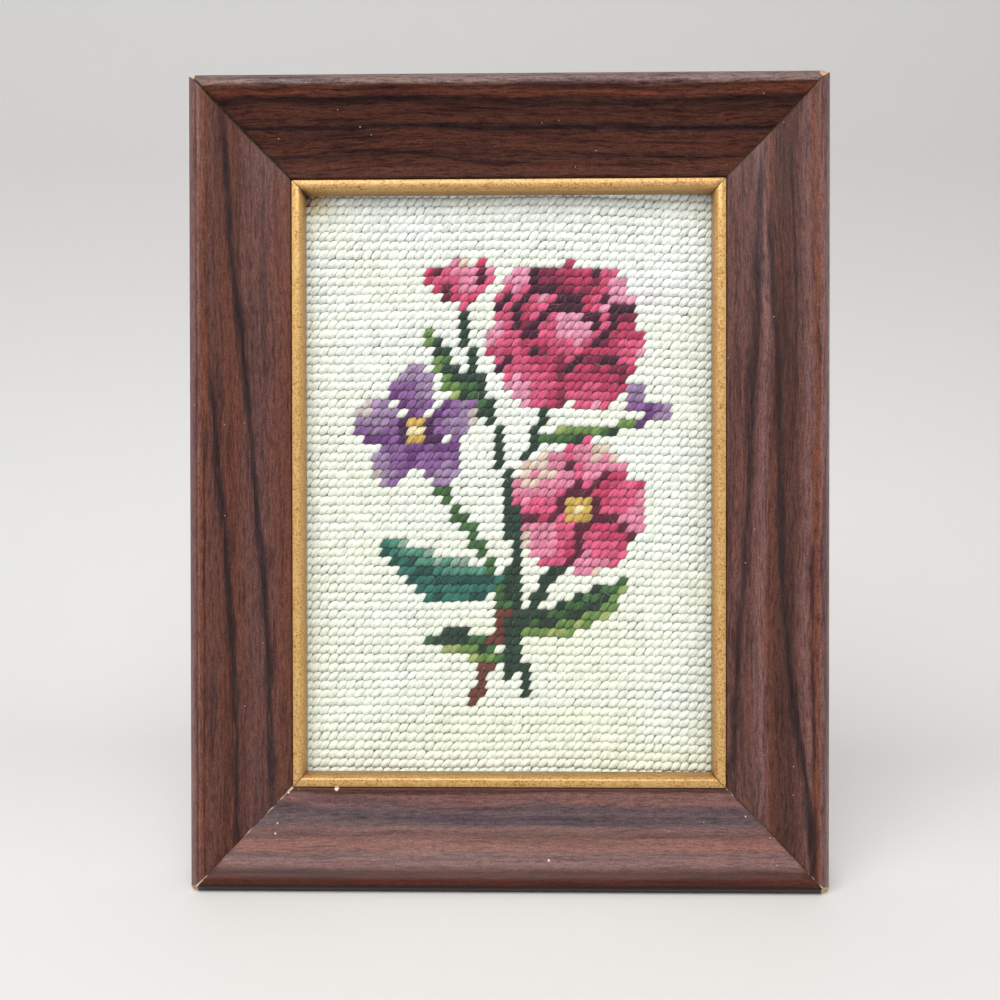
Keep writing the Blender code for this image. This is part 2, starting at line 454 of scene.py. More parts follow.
# Mitres, in millimetres: half width of the pale worn line, what it gains at the outer corner and at
# the slip, and half width of the dark joint
mitreWear = {
    "topLeft": (-0.20, 0.62, 0.16, 0.40),
    "topRight": (-0.16, 0.66, 0.10, 0.20),
    "bottomLeft": (0.10, 0.52, 0.24, 0.10),
    "bottomRight": (0.04, 0.50, 0.14, 0.14),
}
# How far from the corner and from the slip the worn line gains, how ragged it is, and how soft the joint
mitreReach = {"corner": 9.0, "slip": 7.0, "ragged": 0.62, "soft": 0.1}

# Knocks through to the pale ground, in millimetres along X, up Z and across
knocks = [
    (-48.8, 26.3, 0.62), (11.1, 8.7, 0.26), (-65.2, 17.1, 0.20), (-65.6, 14.5, 0.22), (-62.4, 25.2, 0.26),
    (-64.3, 209.4, 0.12), (-41.2, 212.1, 0.15), (66.5, 19.2, 0.18), (72.8, 14.0, 0.14), (24.6, 206.0, 0.11),
    (-47.0, 216.0, 0.12), (69.6, 218.8, 0.10),
]
knockEdge = {"waves": 1500.0, "ragged": (1.2, 0.4)}  # waves a metre, and how they stretch the distance


def mouldingProfile():
    size = {key: value * millimetre for key, value in moulding.items()}
    power = moulding["scoopPower"]
    crestRun = size["scoopStart"] - size["crest"]
    scoopRun = woodWidth - size["scoopStart"]
    crestCurve = power * (frameDepth - size["lipHeight"]) / (2 * crestRun * scoopRun + power * crestRun**2)

    def crestHeight(inward):
        return frameDepth - crestCurve * (inward - size["crest"]) ** 2

    points = [(0.0, 0.0), (0.0, size["sideHeight"] / 2)]
    bevelRise = crestHeight(size["bevelWidth"]) - size["sideHeight"]
    bevelSteps, crestSteps, scoopSteps, roundSteps = 10, 12, 28, 4
    for step in range(bevelSteps):
        share = step / bevelSteps
        ease = 2 * share * (1 - share) * size["bevelEase"]
        points.append((size["bevelWidth"] * share**2, size["sideHeight"] + ease + bevelRise * share**2))
    for step in range(crestSteps):
        inward = size["bevelWidth"] + (size["scoopStart"] - size["bevelWidth"]) * step / crestSteps
        points.append((inward, crestHeight(inward)))
    scoopFall = crestHeight(size["scoopStart"]) - size["lipHeight"]
    for step in range(scoopSteps):
        share = step / scoopSteps
        inward = size["scoopStart"] + scoopRun * share
        points.append((inward, size["lipHeight"] + scoopFall * (1 - share) ** power))
    for step in range(roundSteps + 1):
        angle = step / roundSteps * math.pi / 2
        inward = woodWidth - size["lipRound"] * (1 - math.sin(angle))
        points.append((inward, size["lipHeight"] - size["lipRound"] * (1 - math.cos(angle))))
    points += [(woodWidth, size["rebateHeight"]), (size["rebateInward"], size["rebateHeight"])]
    points += [(size["rebateInward"], 0.0)]
    return points


def aroundOf(profile):
    lengths = [0.0]
    for (x0, y0), (x1, y1) in zip(profile, profile[1:] + profile[:1]):
        lengths.append(lengths[-1] + math.hypot(x1 - x0, y1 - y0))
    return lengths


def frontAround(profile, inward):
    # how far round the profile the front face reaches this distance inward
    lengths = aroundOf(profile)
    if inward <= 0:
        return lengths[2] + inward
    front = [(x, lengths[n]) for n, (x, y) in enumerate(profile[:-3]) if n >= 2]
    return float(np.interp(inward, [x for x, _ in front], [a for _, a in front]))


def profilePlace(profile, lengths, inward, height):
    best = (1e9, 0.0)
    for n, (x0, y0) in enumerate(profile):
        x1, y1 = profile[(n + 1) % len(profile)]
        run, rise = x1 - x0, y1 - y0
        share = ((inward - x0) * run + (height - y0) * rise) / (run * run + rise * rise)
        share = min(1.0, max(0.0, share))
        gap = math.hypot(x0 + run * share - inward, y0 + rise * share - height)
        best = min(best, (gap, lengths[n] + math.hypot(run, rise) * share))
    return best[1]


def mapAlong(bm, profile):
    # UV in metres: along the bar and around its profile
    lengths = aroundOf(profile)
    whole = lengths[-1]
    layer = bm.loops.layers.uv.new("grain")
    known = {}
    for face in bm.faces:
        places = []
        for corner in face.verts:
            if corner not in known:
                known[corner] = profilePlace(profile, lengths, corner.co.z, backY - corner.co.y)
            places.append(known[corner])
        seam = max(places) - min(places) > whole / 2
        for loop, place in zip(face.loops, places):
            if seam and place < whole / 2:
                place += whole
            loop[layer].uv = (loop.vert.co.x, place)


def mitredLength(profile, length, look):
    # a length of moulding along X, its ends cut at 45 degrees and their edges eased
    gap, segments = look["mitreGap"] * millimetre / 2, look["segments"]
    bm = bmesh.new()
    ring = [bm.verts.new((-length / 2, depthOf(height), inward)) for inward, height in profile]
    edges = [bm.edges.new((a, b)) for a, b in zip(ring, ring[1:] + ring[:1])]
    for _ in range(segments):
        grown = bmesh.ops.extrude_edge_only(bm, edges=edges)["geom"]
        verts = [item for item in grown if isinstance(item, bmesh.types.BMVert)]
        newest = set(verts)
        bmesh.ops.translate(bm, verts=verts, vec=(length / segments, 0.0, 0.0))
        edges = [edge for edge in edgesIn(grown) if newest.issuperset(edge.verts)]
    caps = []
    for side in (-1, 1):
        shape = bm.verts[:] + bm.edges[:] + bm.faces[:]
        cut = bmesh.ops.bisect_plane(
            bm, geom=shape, plane_co=(side * (length / 2 - gap * math.sqrt(0.5)), 0, 0),
            plane_no=(side, 0, 1), clear_outer=True,
        )["geom_cut"]
        caps += bmesh.ops.holes_fill(bm, edges=edgesIn(cut), sides=0)["faces"]
    bmesh.ops.recalc_face_normals(bm, faces=bm.faces)
    for cap in caps:
        cap.material_index = 1
    rims = list({edge for cap in caps for edge in cap.edges})
    bmesh.ops.bevel(
        bm, geom=rims, offset=look["mitreBevel"] * millimetre, offset_type="OFFSET", segments=2, profile=0.5,
        affect="EDGES", material=-1, clamp_overlap=True,
    )
    return bm


def chipCorner(bm, length, side, size):
    # a small facet broken off the outer corner, showing bare wood
    along, back, inward = (value * millimetre for value in size)
    tip = Vector((side * length / 2, depthOf(moulding["sideHeight"] * millimetre), 0.0))
    first = tip + Vector((-side * along, 0, 0))
    second = tip + Vector((0, back, 0))
    third = tip + Vector((-side * inward, -inward * moulding["chipLean"], inward))
    normal = (second - first).cross(third - first).normalized()
    if normal.dot(tip - first) < 0:
        normal = -normal
    shape = bm.verts[:] + bm.edges[:] + bm.faces[:]
    cut = bmesh.ops.bisect_plane(
        bm, geom=shape, plane_co=first, plane_no=normal, clear_outer=True,
    )["geom_cut"]
    for face in bmesh.ops.holes_fill(bm, edges=edgesIn(cut), sides=0)["faces"]:
        face.material_index = 1


# Which way each bar lies: length, turn about Y, place of its outer edge
bars = {
    "bottom": (outerWidth, 0.0, (0.0, 0.0, 0.0)),
    "top": (outerWidth, math.pi, (0.0, 0.0, outerHeight)),
    "left": (outerHeight, math.pi / 2, (-outerWidth / 2, 0.0, centreHeight)),
    "right": (outerHeight, -math.pi / 2, (outerWidth / 2, 0.0, centreHeight)),
}

# Chips at each end of a bar: side of the bar, then reach in millimetres along, back and inward
chips = {
    "top": [(1, (1.3, 1.2, 0.9)), (-1, (1.6, 0.9, 1.0))],
    "bottom": [(1, (1.6, 1.4, 1.2)), (-1, (1.5, 1.3, 1.0))],
    "left": [(1, (1.0, 1.0, 0.8))],
    "right": [(-1, (1.2, 1.1, 1.0))],
}


def addBar(bm, side, name, materials, node):
    # lays a finished bar in its place in the frame
    _, turn, place = bars[side]
    matrix = Matrix.Translation(place) @ Matrix.Rotation(turn, 4, "Y")
    bmesh.ops.transform(bm, matrix=matrix, verts=bm.verts)
    addPiece(name + side, meshFrom(bm, name + side, 32), materials, [node + side])


def addStreak(mat, wood, streak, along, around, breaks, frayed, profile):
    # one dark streak of the figure, along a smooth curve, uneven in width and fading at its ends
    shade, strength, halfWidth, points = streak
    halfWidth *= millimetre
    first, last = points[0][0] * millimetre, points[-1][0] * millimetre
    limit = frontAround(profile, woodWidth) * streakLook["room"]
    share = between(mat, along, first, last)
    node = addNode(mat, "FloatCurve", {"Value": share})
    curve = node.mapping.curves[0]
    spots = [
        ((place * millimetre - first) / (last - first), frontAround(profile, inward * millimetre) / limit)
        for place, inward in points
    ]
    curve.points[0].location = spots[0]
    curve.points[1].location = spots[-1]
    for spot in spots[1:-1]:
        curve.points.new(*spot)
    node.mapping.update()
    middle = times(mat, node.outputs[0], limit)
    gap = maths(mat, "ABSOLUTE", minus(mat, around, middle))
    gap = times(mat, gap, scaledAdd(mat, breaks, *streakLook["narrows"]))
    near = between(mat, gap, halfWidth, halfWidth * streakLook["core"])
    ends = maths(mat, "MINIMUM", share, minus(mat, 1.0, share))
    near = times(mat, near, between(mat, ends, 0.0, streakLook["fades"]))
    near = maths(mat, "POWER", near, streakLook["softness"])
    near = times(mat, near, strength, between(mat, frayed, *streakLook["frays"]))
    return blend(mat, near, wood, linear(*grainShades[shade]))


def rosewoodMaterial(side, profile):
    look = barLooks[side]
    mat, shader = newMaterial("rosewood_" + side, 0.42)
    shader.inputs["Specular IOR Level"].default_value = look["gloss"]
    place, grain = placeOf(mat), placeOf(mat, "UV")
    along = axesOf(mat, place)["X" if side in ("top", "bottom") else "Z"]
    around = axesOf(mat, grain)["Y"]
    shift = {"Vector": grain, "Location": (look["seed"], 0.0, look["seed"])}
    seeded = addNode(mat, "Mapping", shift).outputs[0]

    # the grain flows in slow waves, and its edges fray into fibres, but not near the outer edge
    waves, shifts = {}, {}
    for name, (scale, detail, roughness, reach) in grainFlow.items():
        waves[name] = grainOf(mat, seeded, scale, detail, roughness)
        shifts[name] = times(mat, minus(mat, waves[name], 0.5), reach)
    flow = plus(mat, shifts["slow"], shifts["quick"])
    edge = frontAround(profile, look["calm"] * millimetre)
    calmed = between(mat, around, edge, edge + 2 * millimetre)
    waved = plus(mat, around, times(mat, plus(mat, flow, shifts["frayed"]), calmed))
    start = frontAround(profile, -moulding["sideHeight"] / 2 * millimetre)
    end = frontAround(profile, woodWidth)
    stops = []
    for inward, shade in look["bands"]:
        spot = (frontAround(profile, inward * millimetre) - start) / (end - start)
        stops.append((limited(spot), linear(*grainShades[shade])))
    wood = rampOf(mat, between(mat, waved, start, end), stops)
    for streak in look["streaks"]:
        wood = addStreak(mat, wood, streak, along, waved, waves["quick"], waves["frayed"], profile)

    # finer lines of grain lie over the bands, and a matt speckle over all
    offset = addNode(mat, "CombineXYZ", {"Y": times(mat, flow, printTone["follows"])}).outputs[0]
    flowing = addNode(mat, "VectorMath", {0: seeded, 1: offset}, operation="ADD").outputs[0]
    masks = {}
    for name, (scale, low, high, strength, tint) in grainLayers.items():
        line = grainOf(mat, flowing, scale, printTone["layerDetail"], printTone["layerRoughness"])
        masks[name] = times(mat, between(mat, line, low, high), strength * look["figure"])
        wood = blend(mat, masks[name], wood, tint, "MULTIPLY")
    fibre = grainOf(mat, flowing, printTone["fibre"], 2.0, 0.6)
    speckle = noiseOf(mat, place, printTone["speckle"], 1.0)
    fibreTone = times(mat, between(mat, fibre, *printTone["fibreSpan"]), printTone["fibreShare"])
    speckleTone = times(mat, between(mat, speckle, *printTone["speckleSpan"]), printTone["speckleShare"])
    # the bar's tone is a painted shade for how it faces the light, darkest on the top bar
    tone = times(mat, plus(mat, fibreTone, speckleTone, printTone["plain"]), look["tone"])
    wood = shaded(mat, wood, tone)

    # tiny knocks through to pale wood, and worn mitres
    cells = addNode(mat, "TexVoronoi", {"Vector": place, "Scale": printTone["fleckScale"]})
    near = maths(mat, "LESS_THAN", cells.outputs["Distance"], printTone["fleckRadius"])
    pick = addNode(mat, "SeparateColor", {"Color": cells.outputs["Color"]}).outputs["Red"]
    rare = maths(mat, "GREATER_THAN", pick, printTone["fleckRarity"])
    fleck = times(mat, near, rare, printTone["fleckStrength"])
    joint, worn = mitreMasks(mat, place)
    wood = blend(mat, joint, wood, linear(*grainShades["joint"]))
    bare = maths(mat, "MAXIMUM", fleck, maths(mat, "MAXIMUM", worn, knockMask(mat, place)))
    wood = blend(mat, bare, wood, linear(*grainShades["bare"]))
    wire(mat, wood, shader.inputs["Base Color"])
    wire(mat, scaledAdd(mat, fibre, *printTone["roughness"]), shader.inputs["Roughness"])
    addBump(mat, shader, minus(mat, fibre, masks["fine"]), *printTone["bump"])
    return mat


def frontDistances(mat, place, spots):
    # how far each spot lies, seen from the front
    flat = addNode(mat, "VectorMath", {0: place, 1: (1.0, 0.0, 1.0)}, operation="MULTIPLY").outputs[0]
    return [
        addNode(mat, "VectorMath", {0: flat, 1: spot}, operation="DISTANCE").outputs["Value"]
        for spot in spots
    ]


def knockMask(mat, place):
    rough = scaledAdd(mat, noiseOf(mat, place, knockEdge["waves"]), *knockEdge["ragged"])
    spots = [(x * millimetre, 0.0, z * millimetre) for x, z, _ in knocks]
    whole = 0.0
    for gap, (_, _, across) in zip(frontDistances(mat, place, spots), knocks):
        near = maths(mat, "LESS_THAN", times(mat, gap, rough), across * millimetre)
        whole = maths(mat, "MAXIMUM", whole, near)
    return whole


def mitreGap(mat, place):
    # distance from the corner, summed along both edges, and gap from the line of the mitre
    axes = axesOf(mat, place)
    across = minus(mat, outerWidth / 2, maths(mat, "ABSOLUTE", axes["X"]))
    upDown = maths(mat, "MINIMUM", axes["Z"], minus(mat, outerHeight, axes["Z"]))
    return plus(mat, across, upDown), maths(mat, "ABSOLUTE", minus(mat, across, upDown))


def mitreMasks(mat, place):
    # first the dark joint along the mitres, then the thin ragged line where they are worn bare
    axes = axesOf(mat, place)
    fromCorner, gap = mitreGap(mat, place)
    ragged = minus(mat, noiseOf(mat, place, 620.0, 3.0, 0.6), 0.5)
    toRight = maths(mat, "GREATER_THAN", axes["X"], 0.0)
    low = maths(mat, "LESS_THAN", axes["Z"], centreHeight)
    widths = []
    for sizes in zip(*(mitreWear[corner] for corner in ("topLeft", "topRight", "bottomLeft", "bottomRight"))):
        sizes = [size * millimetre for size in sizes]
        top, bottom = mixNumbers(mat, toRight, *sizes[:2]), mixNumbers(mat, toRight, *sizes[2:])
        widths.append(mixNumbers(mat, low, top, bottom))
    worn, gainAtCorner, gainAtSlip, dark = widths
    reach = {key: value * millimetre for key, value in mitreReach.items()}
    corner = between(mat, fromCorner, reach["corner"], 0.0)
    nearSlip = between(mat, fromCorner, 2 * woodWidth - reach["slip"], 2 * woodWidth)
    pale = plus(
        mat, worn, times(mat, corner, gainAtCorner), times(mat, nearSlip, gainAtSlip),
        times(mat, ragged, reach["ragged"]),
    )
    dark = times(mat, dark, scaledAdd(mat, ragged, 1.2, 1.0))
    joint = between(mat, gap, plus(mat, dark, reach["soft"]), dark)
    return joint, maths(mat, "LESS_THAN", gap, pale)


def makeMoulding(bare):
    profile = mouldingProfile()
    for side in bars:
        length = bars[side][0]
        bm = mitredLength(profile, length, moulding)
        for end, size in chips[side]:
            chipCorner(bm, length, end, size)
        mapAlong(bm, profile)
        for face in bm.faces:
            centre = face.calc_center_median() / millimetre
            height = backY / millimetre - centre.y
            behind = height < 0.2 and face.normal.y > 0.9
            inRebate = centre.z > moulding["rebateInward"] - 0.2 and height < moulding["rebateHeight"] + 0.1
            if behind or inRebate:
                face.material_index = 1
        addBar(bm, side, "moulding_", [rosewoodMaterial(side, profile), bare], "frame_")


# Gilt slip, in millimetres like the moulding
slip = {
    "backHeight": 7.2,
    "shoulderHeight": 12.1,
    "crownHeight": 12.4,
    "crownInward": 28.5,
    "crownSwell": 0.15,
    "sightEdgeHeight": 10.0,
    "clearance": 0.3,
    "mitreGap": 0.16,
    "mitreBevel": 0.06,
    "segments": 24,
}

# Gilding: its shades and where they come in, its speckle as (waves a metre, share), where it takes a painted
# shade at the sight edge, is dark in the joints or stained, in millimetres, and a painted shade for each side
gilding = {
    "gold": (206, 159, 91), "bright": (220, 184, 124), "rubbed": (146, 98, 50), "joint": (70, 44, 24),
    "stain": (66, 42, 28), "shadesAt": (0.36, 0.47, 0.64),
    "stipple": (1900.0, 0.76), "cloud": (260.0, 0.14), "brushed": ((120.0, 2600.0, 1.0), 0.1),
    "innerShadeFrom": 1.4, "innerShadeTo": 2.8, "innerShade": 0.40, "jointWidth": 0.30, "jointCore": 0.12, "jointShade": 0.75,
    "stainReach": 2.2, "stainCore": 0.6, "stainShade": 0.85, "innerShadeWanders": 0.6, "stainWanders": 1.2,
    "roughness": (0.25, 0.28), "metallic": 0.35, "bump": (0.5, 0.00012),
    "sideShades": {"top": 0.90, "bottom": 0.94, "left": 0.97, "right": 0.98},
}


def slipProfile():
    size = {key: value * millimetre for key, value in slip.items() if isinstance(value, float)}
    flangeStart = moulding["rebateInward"] * millimetre + size["clearance"]
    flangeTop = moulding["rebateHeight"] * millimetre - size["clearance"]
    beadStart = woodWidth + size["clearance"] * 0.4
    points = [(flangeStart, size["backHeight"]), (flangeStart, flangeTop), (beadStart, flangeTop)]
    points.append((beadStart, size["shoulderHeight"] - 0.0002))
    crownSteps, roundSteps = 6, 12
    for step in range(crownSteps):
        share = (step + 0.4) / crownSteps
        inward = beadStart + (size["crownInward"] - beadStart) * share
        rise = size["shoulderHeight"] + (size["crownHeight"] - size["shoulderHeight"]) * share
        points.append((inward, rise + size["crownSwell"] * math.sin(math.pi * share)))
    roundRun = barWidth - size["crownInward"]
    roundFall = size["crownHeight"] - size["sightEdgeHeight"]
    for step in range(roundSteps + 1):
        angle = step / roundSteps * math.pi / 2
        inward = size["crownInward"] + roundRun * math.sin(angle)
        points.append((inward, size["crownHeight"] - roundFall * (1 - math.cos(angle))))
    points.append((barWidth, size["backHeight"]))
    return points


def giltMaterial(side, profile):
    mat, shader = newMaterial("gilt_" + side, 0.40, gilding["metallic"])
    place, along = placeOf(mat), placeOf(mat, "UV")
    stipple = noiseOf(mat, place, gilding["stipple"][0], 2.0, 0.7)
    cloud = noiseOf(mat, place, gilding["cloud"][0], 3.0, 0.6)
    brushed = grainOf(mat, along, gilding["brushed"][0])
    gold, bright, rubbed, dark, brown = (
        linear(*gilding[shade]) for shade in ("gold", "bright", "rubbed", "joint", "stain")
    )
    mixed = plus(
        mat, times(mat, stipple, gilding["stipple"][1]), times(mat, cloud, gilding["cloud"][1]),
        times(mat, brushed, gilding["brushed"][1]),
    )
    colour = rampOf(mat, mixed, list(zip(gilding["shadesAt"], (rubbed, gold, bright))))

    # painted shade where it turns in to the canvas, dark in the mitres, and stained at one corner of the
    # opening
    crownInward = slip["crownInward"] * millimetre
    crown = aroundOf(profile)[min(range(len(profile)), key=lambda n: abs(profile[n][0] - crownInward))]
    wander = times(mat, cloud, gilding["innerShadeWanders"] * millimetre)
    around = plus(mat, axesOf(mat, along)["Y"], wander)
    inner = between(
        mat, around, crown + gilding["innerShadeFrom"] * millimetre, crown + gilding["innerShadeTo"] * millimetre,
    )
    colour = blend(mat, times(mat, inner, gilding["innerShade"]), colour, rubbed)
    gap = mitreGap(mat, place)[1]
    joint = between(mat, gap, gilding["jointWidth"] * millimetre, gilding["jointCore"] * millimetre)
    colour = blend(mat, times(mat, joint, gilding["jointShade"]), colour, dark)
    near = frontDistances(mat, place, [(-sightWidth / 2, 0.0, outerHeight - barWidth)])[0]
    near = plus(mat, near, times(mat, cloud, gilding["stainWanders"] * millimetre))
    stained = between(mat, near, gilding["stainReach"] * millimetre, gilding["stainCore"] * millimetre)
    colour = blend(mat, times(mat, stained, gilding["stainShade"]), colour, brown)
    # a painted shade for each side of the slip, darkest on the top
    tone = gilding["sideShades"][side] ** 2.2
    colour = blend(mat, 1.0, colour, (tone, tone, tone), "MULTIPLY")
    colour = blend(mat, knockMask(mat, place), colour, linear(*grainShades["bare"]))
    wire(mat, colour, shader.inputs["Base Color"])
    wire(mat, scaledAdd(mat, cloud, *gilding["roughness"]), shader.inputs["Roughness"])
    addBump(mat, shader, mixed, *gilding["bump"])
    return mat


def makeSlip(bare):
    profile = slipProfile()
    for side in bars:
        bm = mitredLength(profile, bars[side][0], slip)
        mapAlong(bm, profile)
        addBar(bm, side, "giltSlip_", [giltMaterial(side, profile), bare], "slip_")


# Stitched work on ten-thread canvas, one diagonal wool stitch over each crossing. Sizes are in
# millimetres. A stitch leans, is a rounded square seen from the front, and is a full, plump dome.
canvasWork = {
    "pitch": 2.54,
    "columns": 49,
    "rows": 69,
    "beyondSight": 2,  # stitches hidden under the slip on the left and at the top
    "seenColumns": 45,
    "seenRows": 64,
    "startLeft": 0.90,
    "backHeight": 4.4,
    "clothHeight": 5.5,
    "clothCells": (52, 72),
    "stitchFoot": 4.95,
    "stitchRise": 1.80,
    "halfAcross": 1.48,
    "halfUp": 1.57,
    "lean": 0.50,
    "squareness": 3.4,
    "diagonal": 0.05,
    "fullAcross": 3.1,
    "fullUp": 2.2,
    "domeSides": 12,
    "domeRings": 8,
    "wobble": 0.07,
    "groundBreaks": (21, 43),  # rows where the ground goes on in another piece
    "colourStrength": 0.86,
}

# The rows sag to the right, most near the top, and wave a little: height, radians a metre, shift a row
rowSag = {"drop": 2.1, "begins": 2.0, "curve": 1.7, "lowest": 0.45, "rise": 0.6}
rowWaves = [(0.16, 95.0, 0.3), (0.10, 41.0, 0.7)]

# How uneven the stitches are: each value is drawn between the two
unevenness = {
    "row": (-0.4, 0.4), "across": (-1, 1), "up": (-0.6, 0.6), "shade": (-0.10, 0.10),
    "plump": (0.94, 1.07), "lean": (-0.14, 0.14), "turn": (-6, 6),
    "width": (0.95, 1.06), "height": (0.95, 1.05), "rise": (0.90, 1.06),
}

wools = {
    "ground": [(227, 232, 220)],
    "magenta": [(63, 15, 42), (124, 31, 64), (181, 54, 92), (203, 82, 119), (220, 147, 174)],
    "purple": [(72, 34, 80), (102, 56, 116), (132, 90, 146), (154, 128, 164), (196, 184, 180)],
    "pink": [(90, 22, 48), (187, 58, 94), (212, 88, 126), (221, 134, 162), (220, 198, 182)],
    "green": [(36, 60, 46), (62, 100, 56), (104, 136, 70), (156, 172, 104)],
    "teal": [(28, 74, 68), (44, 107, 93), (79, 138, 118), (143, 169, 152)],
    "brown": [(74, 34, 34), (106, 56, 46)],
    "heart": [(63, 15, 42), (201, 167, 85), (230, 217, 174)],
}

# Flowers: name, wool, heart (column, row, radius) and petals, laid one over another.
# A petal: column and row of its root, turn in degrees (0 right, 90 up), length, width, point, light
flowers = [
    ("rose", "magenta", (29.0, 15.2, 0.0), [
        (29.0, 22.0, 90, 12.5, 8.0, 0.6, -0.4),
        (27.6, 14.6, 128, 7.6, 7.8, 0.9, 0.15), (30.4, 14.6, 52, 7.6, 7.4, 0.9, 0.05),
        (29.0, 14.4, 88, 7.0, 7.0, 1.0, -0.30),
        (27.8, 16.4, 178, 7.6, 8.0, 1.0, 0.05), (30.6, 16.2, -4, 7.4, 7.6, 1.0, -0.10),
        (28.2, 17.4, 236, 7.4, 7.6, 0.9, 0.10), (30.4, 17.4, -62, 7.2, 7.2, 0.9, -0.05),
        (28.0, 17.2, 112, 6.6, 5.0, 0.8, 0.0), (30.6, 17.4, 72, 6.2, 4.8, 0.8, -0.1),
        (29.2, 19.2, 90, 6.2, 6.8, 0.75, 0.25),
    ]),
    ("violet", "purple", (12.0, 26.5, 1.15), [
        (12.0, 26.5, 92, 7.6, 5.2, 1.3, 0.0), (12.0, 26.5, 18, 7.6, 5.0, 1.3, 0.0),
        (12.0, 26.5, -52, 7.4, 5.0, 1.3, -0.1), (12.0, 26.5, -126, 7.4, 5.0, 1.3, 0.0),
        (12.0, 26.5, 164, 7.6, 5.0, 1.3, 0.1),
    ]),
    ("wildRose", "pink", (30.6, 35.4, 1.6), [
        (30.6, 35.4, 76, 8.0, 7.8, 0.75, 0.05), (30.6, 35.4, 4, 7.8, 7.6, 0.75, -0.10),
        (30.6, 35.4, -68, 7.6, 7.6, 0.75, -0.10), (30.6, 35.4, -140, 7.6, 7.6, 0.75, 0.0),
        (30.6, 35.4, 148, 8.0, 7.8, 0.75, 0.10),
    ]),
    ("bud", "pink", (17.2, 9.0, 0.0), [
        (16.9, 12.4, 122, 5.6, 3.6, 1.2, -0.2), (17.6, 12.4, 62, 5.6, 3.4, 1.2, -0.3),
        (17.3, 12.8, 92, 5.8, 4.0, 1.0, 0.1),
    ]),
    ("smallBud", "purple", (38.0, 24.0, 0.0), [
        (37.0, 25.2, 92, 4.4, 2.8, 1.2, 0.0), (37.4, 25.6, 38, 4.4, 2.8, 1.2, -0.1),
    ]),
]

# Light on a petal: at its root, gained to its tip, lost at its edges and to one side, and the spread
petalLight = {"root": 0.26, "tip": 0.66, "edges": 0.25, "side": 0.20, "spread": 0.35, "outline": 0.75}

# Leaves: wool, root, bend and tip as (column, row), width, and which side is light
leaves = [
    ("teal", (20.8, 43.5), (14.5, 45.5), (7.6, 38.4), 5.0, -1),
    ("green", (24.6, 49.0), (31.5, 48.0), (36.0, 43.4), 3.8, -1),
    ("green", (20.2, 25.0), (15.6, 21.0), (13.4, 14.8), 2.6, 1),
    ("green", (21.6, 53.0), (17.6, 49.4), (12.6, 51.0), 2.6, 1),
    ("green", (26.2, 27.2), (31.5, 27.0), (36.8, 25.4), 1.3, 1),
]

# Stems: wool, shade, and points as (column, row)
stems = [
    ("green", 0, [(27.8, 21.5), (25.2, 28.0), (23.6, 36.0), (22.6, 46.0), (24.6, 57.0)]),
    ("green", 0, [(17.2, 13.0), (18.4, 19.0), (21.0, 26.0), (22.6, 34.0), (23.4, 44.0), (22.2, 55.0)]),
    ("green", 1, [(14.0, 32.5), (17.6, 37.0), (20.6, 42.0), (22.2, 47.0)]),
    ("green", 0, [(28.8, 41.0), (26.8, 44.0), (25.0, 47.0), (23.6, 50.0)]),
    ("brown", 1, [(22.4, 47.0), (20.6, 51.0), (19.8, 54.5), (18.4, 58.0)]),
]


def onPetal(column, row, petal, grow=0.0):
    rootColumn, rootRow, turn, length, width, point, _ = petal
    angle = math.radians(turn)
    right, up = column + 0.5 - rootColumn, rootRow - row - 0.5
    along = (right * math.cos(angle) + up * math.sin(angle)) / (length + grow)
    across = (-right * math.sin(angle) + up * math.cos(angle)) / (width / 2 + grow)
    if not 0 <= along <= 1:
        return None
    edge = max(math.sin(math.pi * along**1.5) ** (0.62 * point), 0.12 if along < 0.5 else 0.0)
    return (along, across / edge) if abs(across) <= edge else None


def allSpots():
    return [(column, row) for column in range(canvasWork["columns"]) for row in range(canvasWork["rows"])]


def stitchStem(cells, wool, shade, points):
    steps = 60
    for first, second in zip(points, points[1:]):
        for step in range(steps):
            share = step / steps
            column = first[0] + (second[0] - first[0]) * share
            row = first[1] + (second[1] - first[1]) * share
            cells[(int(column), int(row))] = (wool, shade, "stemsAndLeaves")


def stitchLeaf(cells, wool, root, bend, tip, width, lightSide, dice):
    steps = 40
    line = []
    for step in range(steps + 1):
        share = step / steps
        line.append(tuple(
            (1 - share) ** 2 * a + 2 * share * (1 - share) * b + share * share * c
            for a, b, c in zip(root, bend, tip)
        ))
    top = len(wools[wool]) - 1
    for column, row in allSpots():
        x, y = column + 0.5, row + 0.5
        near = min(range(steps + 1), key=lambda k: (line[k][0] - x) ** 2 + (line[k][1] - y) ** 2)
        share = near / steps
        gap = math.hypot(line[near][0] - x, line[near][1] - y)
        half = width / 2 * math.sin(math.pi * min(1, share * 0.96 + 0.04) ** 0.85) ** 0.75 + 0.1
        if gap > half:
            continue
        before, after = line[max(0, near - 1)], line[min(steps, near + 1)]
        run, fall = after[0] - before[0], after[1] - before[1]
        cross = run * (y - line[near][1]) - fall * (x - line[near][0])
        side = math.copysign(min(1.0, gap / max(half, 0.6)), -cross) * lightSide
        shade = round(top * (0.5 + 0.42 * side) + dice.uniform(-0.45, 0.45))
        if abs(side) < 0.22 and share < 0.85 and width > 2:
            shade = 0
        cells[(column, row)] = (wool, min(top, max(0, shade)), "stemsAndLeaves")


